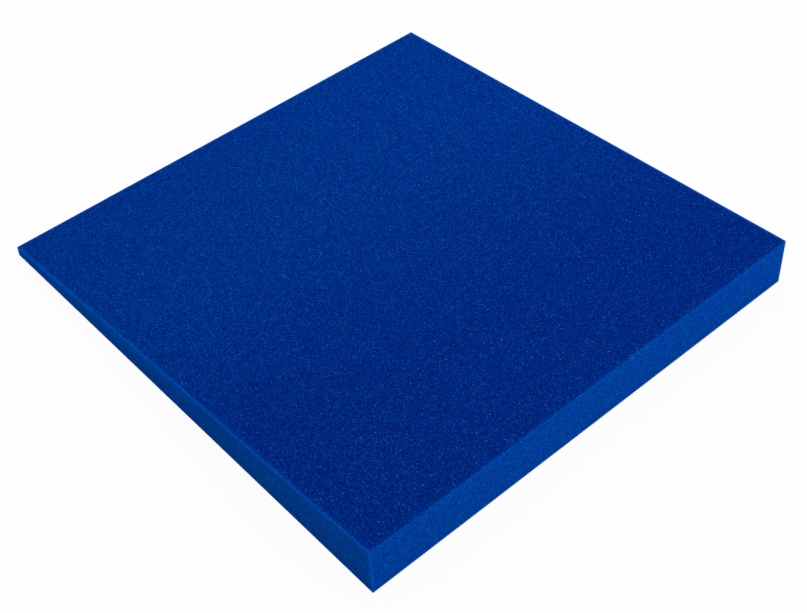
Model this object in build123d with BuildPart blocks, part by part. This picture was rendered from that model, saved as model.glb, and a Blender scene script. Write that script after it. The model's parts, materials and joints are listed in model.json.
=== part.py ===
from build123d import *

import os
from math import atan2, degrees

# Wedge-shaped acoustic panel: one square tile of open-cell polyurethane foam, thick at one end
# and thin at the other. Millimetres, +Z up.
# The origin is the middle of the back face, which lies flat on z = 0. The thick end faces -Y and
# the thin end +Y. The slab's four sides are square to its front face and the back is cut on the
# skew, so with the back lying flat the front face and both ends lean by the taper angle.

# Driving dimensions
panel_width = 500.0  # across the taper, along X
panel_length = 500.0  # down the taper, measured along the front face
thick_end = 50.0  # foam thickness at the thick end, square to the front face
thin_end = 10.0  # foam thickness at the thin end, square to the front face
edge_radius = 0.8  # how far the blade's crisp corners give in soft foam
trim_allowance = 6.0  # foam left under the thick end for the skew cut to take off

taper_angle = degrees(atan2(thick_end - thin_end, panel_length))
middle_thickness = (thick_end + thin_end) / 2
front_face = Plane.XY.rotated((-taper_angle, 0, 0)).offset(middle_thickness)

with BuildPart() as foam_panel:
    # The tile as it is first cut: a slab of even thickness under its front face.
    with BuildSketch(front_face):
        Rectangle(panel_width, panel_length)
    extrude(amount=-(thick_end + trim_allowance))
    # The skew cut: everything behind the back face is sliced away in one flat pass.
    split(bisect_by=Plane.XY, keep=Keep.TOP)
    # Foam has no burr or bevel, only corners that give a little along all twelve edges.
    fillet(foam_panel.edges(), radius=edge_radius)

foam_panel.part.label = "foam_panel"

os.makedirs("parts", exist_ok=True)
export_step(foam_panel.part, "parts/foam_panel.step")
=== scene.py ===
import json
from math import asin, cos, radians, sin

import bpy
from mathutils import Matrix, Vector


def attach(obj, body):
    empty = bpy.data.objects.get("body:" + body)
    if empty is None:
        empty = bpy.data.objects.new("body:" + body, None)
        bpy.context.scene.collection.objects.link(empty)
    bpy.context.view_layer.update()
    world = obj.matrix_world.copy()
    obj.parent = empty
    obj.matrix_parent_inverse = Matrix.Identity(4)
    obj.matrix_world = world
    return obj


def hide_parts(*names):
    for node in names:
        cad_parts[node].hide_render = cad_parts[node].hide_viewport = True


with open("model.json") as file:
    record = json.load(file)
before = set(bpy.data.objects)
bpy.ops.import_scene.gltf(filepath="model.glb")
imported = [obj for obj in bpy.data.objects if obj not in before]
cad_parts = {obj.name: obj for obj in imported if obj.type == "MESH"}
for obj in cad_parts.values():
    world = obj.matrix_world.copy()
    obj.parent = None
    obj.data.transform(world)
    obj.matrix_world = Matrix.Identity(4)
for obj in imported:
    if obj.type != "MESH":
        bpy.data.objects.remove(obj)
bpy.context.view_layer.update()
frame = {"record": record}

# ---------------------------------------------------------------------------------------------
# Foam panel: one tile of open-cell polyurethane foam, dyed blue in the mix. A slab is sliced from
# the bun with a band knife, squared up, and its back is cut off on the skew to leave a wedge.
# Nothing is fixed to it: the cut cells are the surface on all six faces.

# The wedge follows the frame: the flat faces that it is butted by give its ends, sides and taper.
mounts = {m["name"]: m for m in frame["record"]["mounts"]}
down_taper = Vector(mounts["thin_end_face"]["axis"])
front_normal = Vector((1, 0, 0)).cross(down_taper)
thick_middle = Vector(mounts["thick_end_face"]["pos_m"])
thin_middle = Vector(mounts["thin_end_face"]["pos_m"])
thick_end = 2 * thick_middle.z / front_normal.z
thin_end = 2 * thin_middle.z / front_normal.z
panel_width = mounts["right_side"]["pos_m"][0] - mounts["left_side"]["pos_m"][0]
panel_length = (thin_middle - thick_middle).dot(down_taper)
front_middle = (thick_middle + thin_middle) / 2 + front_normal * (thick_end + thin_end) / 4
trim = 0.006  # foam that the skew cut takes off under the thick end
edge_radius = 0.0003  # crisp knife corners that give a little
steps_per_pass = 14  # two passes make 196 steps of 2.6 mm along each long side
steps_up = 16  # steps up each end and side, 3 mm at the thick end
relief = 0.00010  # how far the cut cells stand above and below the knife's plane
hollow = 0.0009  # how far the left side's upper edge lies inside a straight cut
hollow_middle = 0.08  # where it lies furthest in, along the taper
hollow_reach = 0.17  # how far the hollow runs to each side of that
bulge = 0.0014  # how far the thick end's upper edge lies outside a straight cut
edge_fade = 0.02  # how far in from those edges the foam has moved with them


def select_edges(piece, axis, shortest):
    """Selects the edges of piece that run along axis (0, 1 or 2) and are longer than shortest."""
    bpy.ops.object.mode_set(mode="EDIT")
    bpy.ops.mesh.select_mode(type="EDGE")
    bpy.ops.mesh.select_all(action="DESELECT")
    bpy.ops.object.mode_set(mode="OBJECT")
    points = piece.data.vertices
    for edge in piece.data.edges:
        run = points[edge.vertices[1]].co - points[edge.vertices[0]].co
        edge.select = run.length > shortest and abs(run[axis]) > 0.9 * run.length
    bpy.ops.object.mode_set(mode="EDIT")


# A slab of even thickness lies under the sloping front face, and the skew cut leaves the wedge.
bpy.ops.object.select_all(action="DESELECT")
slab = thick_end + trim
bpy.ops.mesh.primitive_cube_add(
    size=1,
    location=front_middle - front_normal * slab / 2,
    rotation=(asin(down_taper.z), 0, 0),
    scale=(panel_width, panel_length, slab),
)
foam = bpy.context.object
foam.name = "foam_block"
bpy.ops.object.transform_apply(location=True, rotation=True, scale=True)
bpy.ops.object.mode_set(mode="EDIT")
bpy.ops.mesh.select_all(action="SELECT")
bpy.ops.mesh.bisect(plane_co=(0, 0, 0), plane_no=(0, 0, -1), use_fill=True, clear_outer=True)

# The knife leaves twelve sharp corners, which soften by a fraction of a millimetre in foam.
bpy.ops.mesh.select_all(action="SELECT")
bpy.ops.mesh.bevel(offset=edge_radius, segments=3, profile=0.5, affect="EDGES")

# Fine steps all over carry the relief of the cut cells.
for axis in (0, 1):
    for shortest in (0.9 * panel_length, 0.9 * panel_length / steps_per_pass):
        select_edges(foam, axis, shortest)
        bpy.ops.mesh.subdivide(number_cuts=steps_per_pass - 1)
select_edges(foam, 2, thin_end / 2)
bpy.ops.mesh.subdivide(number_cuts=steps_up - 1)
bpy.ops.object.mode_set(mode="OBJECT")
bpy.ops.object.shade_smooth()

# How near each point is to a cut corner, from 1 on it to 0 on the open face. Light comes in from
# both sides of a corner, so the thin foam there is painted a shade lighter, a painted glow: less
# along the thick end's front and left corners, which are the bluntest, and most where the front
# meets the right side.
glow_reach = 0.006
front, underside, thick, thin, left, right = range(6)  # the faces, in the order of their planes
glow_shares = {(front, thick): 0.76, (thick, left): 0.9, (front, right): 1.12}
planes = [(front_middle, front_normal), (Vector((0, 0, 0)), Vector((0, 0, -1)))]
for name in ("thick_end_face", "thin_end_face", "left_side", "right_side"):
    planes.append((Vector(mounts[name]["pos_m"]), Vector(mounts[name]["axis"])))
corner = foam.data.attributes.new("corner", "FLOAT", "POINT")
side = foam.data.attributes.new("side", "FLOAT", "POINT")  # 1 on the two sides, less on the ends
side_shares = {front: 0, underside: 0, thick: 0.76, thin: 0.76, left: 1, right: 1}
off_corners = [False] * len(foam.data.vertices)
for i, vertex in enumerate(foam.data.vertices):
    depths = [(point - vertex.co).dot(normal) for point, normal in planes]
    nearest, second = sorted(range(6), key=depths.__getitem__)[:2]
    glow_share = glow_shares.get((min(nearest, second), max(nearest, second)), 1)
    corner.data[i].value = glow_share * max(0.0, 1 - depths[second] / glow_reach)
    side.data[i].value = side_shares[nearest]
    off_corners[i] = depths[second] > 2 * edge_radius and nearest != underside

# The cut cells stand above and below the knife's plane, all over but for the corners and the
# underside, which lies flat under the panel's own weight.
bpy.ops.object.mode_set(mode="EDIT")
bpy.ops.mesh.select_mode(type="VERT")
bpy.ops.mesh.select_all(action="DESELECT")
bpy.ops.object.mode_set(mode="OBJECT")
foam.data.vertices.foreach_set("select", off_corners)
bpy.ops.object.mode_set(mode="EDIT")
bpy.ops.transform.vertex_random(offset=relief, uniform=0, normal=1, seed=7)
bpy.ops.object.mode_set(mode="OBJECT")

# The slab gives under the knife. It leaves the left side a little hollow along its upper edge,
# mostly towards the thin end, and the thick end a little full along its own, save at the left.
for vertex in foam.data.vertices:
    x, y, z = vertex.co
    height = z / (thick_end - (thick_end - thin_end) * (y / panel_length + 0.5))
    from_left = max(0.0, 1 - (x + panel_width / 2) / edge_fade)
    from_thick_end = max(0.0, 1 - (y + panel_length / 2) / edge_fade)
    hollow_share = max(0.0, 1 - ((y - hollow_middle) / hollow_reach) ** 2)
    bulge_share = 1 - max(0.0, -2 * x / panel_width) ** 4
    vertex.co.x += hollow * hollow_share * height * from_left
    vertex.co.y -= bulge * bulge_share * height * from_thick_end


def linear(code):
    """An sRGB hex colour as the linear red, green, blue and alpha that a node takes."""
    parts = [int(code[i : i + 2], 16) / 255 for i in (1, 3, 5)]
    return [p / 12.92 if p <= 0.04045 else ((p + 0.055) / 1.055) ** 2.4 for p in parts] + [1]


def add_node(material, kind, settings=None, links=None):
    """Adds a node to material, sets its properties and inputs, and links the rest of its inputs."""
    node = material.node_tree.nodes.new(kind)
    for key, value in (settings or {}).items():
        if isinstance(key, str) and hasattr(node, key):
            setattr(node, key, value)
        else:
            node.inputs[key].default_value = value
    for key, output in (links or {}).items():
        material.node_tree.links.new(output, node.inputs[key])
    return node


# Open-cell polyurethane foam, dyed in the mix and cut with a band knife: no skin and no gloss.
# The eye sees a deep matte blue with a fine grain of cut struts over dark pores, and here and
# there a painted glint, the pale light thrown back where a cell has kept its film.
dye = "#003085"  # the colour of light that has crossed one unit of dyed foam
painted_glint_colour = "#86acdc"  # painted glint: the pale light a cell film throws back before the dye takes it
painted_rim_glow = "#0558cc"  # painted glow of the thin foam at a corner, lit from both sides
cell = 0.0007  # metres across the small cells; real ones are 0.7 to 1 mm
large_cell = 0.0010  # metres across the large ones
foam_material = bpy.data.materials.new("cut open-cell polyurethane foam")
foam_material.use_nodes = True
foam_material.node_tree.nodes.clear()
place = add_node(foam_material, "ShaderNodeTexCoord").outputs["Object"]

# Each small cell is cut at its own depth: most show the deep dye and a few lie near the light.
cells = add_node(foam_material, "ShaderNodeTexVoronoi", {"Scale": 1 / cell}, {"Vector": place})
cell_chance = add_node(
    foam_material, "ShaderNodeSeparateColor", links={"Color": cells.outputs["Color"]}
)
shallow = add_node(
    foam_material,
    "ShaderNodeMath",
    {"operation": "POWER", 1: 3.0},
    {0: cell_chance.outputs["Red"]},
)

# Where the knife meets a knot between large cells, its cut end stands out as a bright point.
knots = add_node(
    foam_material, "ShaderNodeTexVoronoi", {"Scale": 1 / large_cell}, {"Vector": place}
)
knot_chance = add_node(
    foam_material, "ShaderNodeSeparateColor", links={"Color": knots.outputs["Color"]}
)
knot = add_node(
    foam_material,
    "ShaderNodeMapRange",
    {
        "interpolation_type": "SMOOTHSTEP",
        "From Min": 0.12,
        "From Max": 0.45,
        "To Min": 1,
        "To Max": 0,
    },
    {"Value": knots.outputs["Distance"]},
)
bright_knot = add_node(
    foam_material,
    "ShaderNodeMath",
    {"operation": "MULTIPLY"},
    {0: knot.outputs["Result"], 1: knot_chance.outputs["Red"]},
)

# Painted light: the thin end is painted a shade lighter and greener than the thick end, where the
# light falls more, and slow clouds move where it changes. A path is how much dyed foam the light
# crosses before it comes out again.
cloud_size = 0.16
cloud_shift = 0.16  # how far a cloud moves the painted light along the taper
thick_end_painted_path = 1.28
thin_end_painted_path = 1.18
side_painted_sheen_path = 0.945
along = add_node(foam_material, "ShaderNodeSeparateXYZ", links={"Vector": place})
cloud = add_node(
    foam_material,
    "ShaderNodeTexNoise",
    {"Scale": 1 / cloud_size, "Detail": 3.0},
    {"Vector": place},
)
wander = add_node(
    foam_material,
    "ShaderNodeMath",
    {"operation": "MULTIPLY_ADD", 1: cloud_shift},
    {0: cloud.outputs["Fac"], 2: along.outputs["Y"]},
)
painted_light_drift = add_node(
    foam_material,
    "ShaderNodeMapRange",
    {
        "interpolation_type": "SMOOTHSTEP",
        "From Min": -0.09,
        "From Max": 0.20,
        "To Min": thick_end_painted_path,
        "To Max": thin_end_painted_path,
    },
    {"Value": wander.outputs[0]},
)
side_share = add_node(foam_material, "ShaderNodeAttribute", {"attribute_name": "side"})
# The sides, and the ends in part, are painted lighter and greener than the front: a painted sheen.
face_path_painted_light = add_node(
    foam_material,
    "ShaderNodeMix",
    {"B": side_painted_sheen_path},
    {"Factor": side_share.outputs["Fac"], "A": painted_light_drift.outputs["Result"]},
)

# The sides were cut along the rise of the foam, and show a flatter grain than the front.
front_grain = 0.74
side_grain = 0.44
grain = add_node(
    foam_material,
    "ShaderNodeMath",
    {"operation": "MULTIPLY_ADD", 1: 0.5},
    {0: shallow.outputs[0], 2: bright_knot.outputs[0]},
)
grain_depth = add_node(
    foam_material,
    "ShaderNodeMix",
    {"A": front_grain, "B": side_grain},
    {"Factor": side_share.outputs["Fac"]},
)
nearer = add_node(
    foam_material,
    "ShaderNodeMath",
    {"operation": "MULTIPLY"},
    {0: grain.outputs[0], 1: grain_depth.outputs["Result"]},
)
path = add_node(
    foam_material,
    "ShaderNodeMath",
    {"operation": "SUBTRACT"},
    {0: face_path_painted_light.outputs["Result"], 1: nearer.outputs[0]},
)
body = add_node(
    foam_material,
    "ShaderNodeGamma",
    {"Color": linear(dye)},
    {"Gamma": path.outputs[0]},
)

# A few knots carry a painted glint, the pale light thrown back by a scrap of cell film: most near
# the thick end, fewest on the sides.
glints_at_thick_end = 1.05
glints_at_thin_end = 0.35
glints_on_sides = 0.3
glint_chance = add_node(
    foam_material,
    "ShaderNodeMath",
    {"operation": "POWER", 1: 30.0},
    {0: knot_chance.outputs["Green"]},
)
glint_knot = add_node(
    foam_material,
    "ShaderNodeMath",
    {"operation": "MULTIPLY"},
    {0: glint_chance.outputs[0], 1: bright_knot.outputs[0]},
)
glints_on_face = add_node(
    foam_material,
    "ShaderNodeMapRange",
    {
        "From Min": -panel_length / 2,
        "From Max": panel_length / 2,
        "To Min": glints_at_thick_end,
        "To Max": glints_at_thin_end,
    },
    {"Value": along.outputs["Y"]},
)
glint_share = add_node(
    foam_material,
    "ShaderNodeMix",
    {"B": glints_on_sides},
    {"Factor": side_share.outputs["Fac"], "A": glints_on_face.outputs["Result"]},
)
glint = add_node(
    foam_material,
    "ShaderNodeMath",
    {"operation": "MULTIPLY"},
    {0: glint_knot.outputs[0], 1: glint_share.outputs["Result"]},
)
glinting = add_node(
    foam_material,
    "ShaderNodeMix",
    {"data_type": "RGBA", 7: linear(painted_glint_colour)},
    {0: glint.outputs[0], 6: body.outputs["Color"]},
)

# The corners are painted a shade lighter than the faces they part: a painted glow.
glow_strength = 0.65
corner_glow_share = add_node(foam_material, "ShaderNodeAttribute", {"attribute_name": "corner"})
glow = add_node(
    foam_material,
    "ShaderNodeMath",
    {"operation": "POWER", 1: 4.0},
    {0: corner_glow_share.outputs["Fac"]},
)
glow_amount = add_node(
    foam_material,
    "ShaderNodeMath",
    {"operation": "MULTIPLY", 1: glow_strength},
    {0: glow.outputs[0]},
)
colour = add_node(
    foam_material,
    "ShaderNodeMix",
    {"data_type": "RGBA", 7: linear(painted_rim_glow)},
    {0: glow_amount.outputs[0], 6: glinting.outputs[2]},
)

# Some cells are open towards the light and others lie in the shade of their own walls.
shade = add_node(
    foam_material,
    "ShaderNodeMapRange",
    {"To Min": 0.72, "To Max": 1.32},
    {"Value": cell_chance.outputs["Green"]},
)
shaded = add_node(
    foam_material,
    "ShaderNodeVectorMath",
    {"operation": "SCALE"},
    {"Vector": colour.outputs[2], "Scale": shade.outputs["Result"]},
)

# The cut cells stand a little proud of each other.
cut = add_node(
    foam_material,
    "ShaderNodeBump",
    {"Distance": 0.0002, "Strength": 0.25},
    {"Height": cell_chance.outputs["Blue"]},
)
surface = add_node(
    foam_material,
    "ShaderNodeBsdfPrincipled",
    {"Roughness": 1.0, "Specular IOR Level": 0.0},
    {"Base Color": shaded.outputs["Vector"], "Normal": cut.outputs["Normal"]},
)
add_node(
    foam_material,
    "ShaderNodeOutputMaterial",
    links={"Surface": surface.outputs["BSDF"]},
)
foam.data.materials.append(foam_material)

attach(foam, "root")
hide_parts("foam_panel")

# ---------------------------------------------------------------------------------------------
# Studio: a white floor, an even white room and three large soft lamps, set so that a colour
# renders about as it is written.

floor_size = 30.0
floor_shown_white = 0.95  # the rest of what is seen of the floor is its paint, with the shadow
room_fill = 0.54
bpy.ops.mesh.primitive_plane_add(size=floor_size, location=(0, 0, 0))
floor = bpy.context.object
floor.name = "studio_floor"


def seen_rays(material):
    """1 where the eye looks, straight, off gloss or through glass, and 0 for bounced light."""
    rays = add_node(material, "ShaderNodeLightPath").outputs
    reflected = add_node(
        material,
        "ShaderNodeMath",
        {"operation": "MAXIMUM"},
        {0: rays["Is Glossy Ray"], 1: rays["Is Transmission Ray"]},
    )
    seen = add_node(
        material,
        "ShaderNodeMath",
        {"operation": "MAXIMUM"},
        {0: rays["Is Camera Ray"], 1: reflected.outputs[0]},
    )
    return seen.outputs[0]


# A matt painted floor that runs out of view: an even white with a soft shadow and no gloss.
white_sweep = bpy.data.materials.new("matt white studio sweep")
white_sweep.use_nodes = True
white_sweep.node_tree.nodes.clear()
shown_white = add_node(
    white_sweep,
    "ShaderNodeMath",
    {"operation": "MULTIPLY", 1: floor_shown_white},
    {0: seen_rays(white_sweep)},
)
paint = add_node(white_sweep, "ShaderNodeBsdfDiffuse", {"Color": linear("#dadada")})
shine = add_node(white_sweep, "ShaderNodeEmission", {"Strength": 1.0})
blend = add_node(
    white_sweep,
    "ShaderNodeMixShader",
    links={0: shown_white.outputs[0], 1: paint.outputs[0], 2: shine.outputs[0]},
)
add_node(white_sweep, "ShaderNodeOutputMaterial", links={"Surface": blend.outputs[0]})
floor.data.materials.append(white_sweep)

room = bpy.data.worlds.new("white studio room")
bpy.context.scene.world = room
room.use_nodes = True
room.node_tree.nodes.clear()
fill = add_node(room, "ShaderNodeBackground", {"Color": (1, 1, 1, 1), "Strength": room_fill})
white = add_node(room, "ShaderNodeBackground", {"Color": (1, 1, 1, 1), "Strength": 1.0})
blend = add_node(
    room,
    "ShaderNodeMixShader",
    links={0: seen_rays(room), 1: fill.outputs[0], 2: white.outputs[0]},
)
add_node(room, "ShaderNodeOutputWorld", links={"Surface": blend.outputs[0]})


def soft_lamp(name, spot, width, power):
    """A square softbox at spot, turned to the middle of the panel."""
    lamp = bpy.data.objects.new(name, bpy.data.lights.new(name, "AREA"))
    bpy.context.scene.collection.objects.link(lamp)
    lamp.data.size = width
    lamp.data.energy = power
    lamp.location = spot
    lamp.rotation_euler = (-Vector(spot)).to_track_quat("-Z", "Y").to_euler()


soft_lamp("lamp_over_thin_end", (0.4, 0.5, 1.0), 0.5, 5.1)
soft_lamp("lamp_before_thick_end", (0.4, -1.8, 0.8), 1.0, 23.0)
soft_lamp("lamp_at_left", (-1.8, 1.0, 0.5), 1.0, 8.5)

# The camera looks down over the near thick corner.
azimuth = radians(-42.30)
elevation = radians(46.41)
distance = 1.3614
aim = Vector((-0.0278, -0.0414, 0))
towards_camera = Vector(
    (sin(azimuth) * cos(elevation), -cos(azimuth) * cos(elevation), sin(elevation))
)
camera = bpy.data.objects.new("camera", bpy.data.cameras.new("camera"))
bpy.context.scene.collection.objects.link(camera)
camera.location = aim + towards_camera * distance
camera.rotation_euler = (-towards_camera).to_track_quat("-Z", "Y").to_euler()
camera.data.sensor_width = 36
camera.data.lens = 66.82
bpy.context.scene.camera = camera
bpy.context.scene.view_settings.view_transform = "Standard"
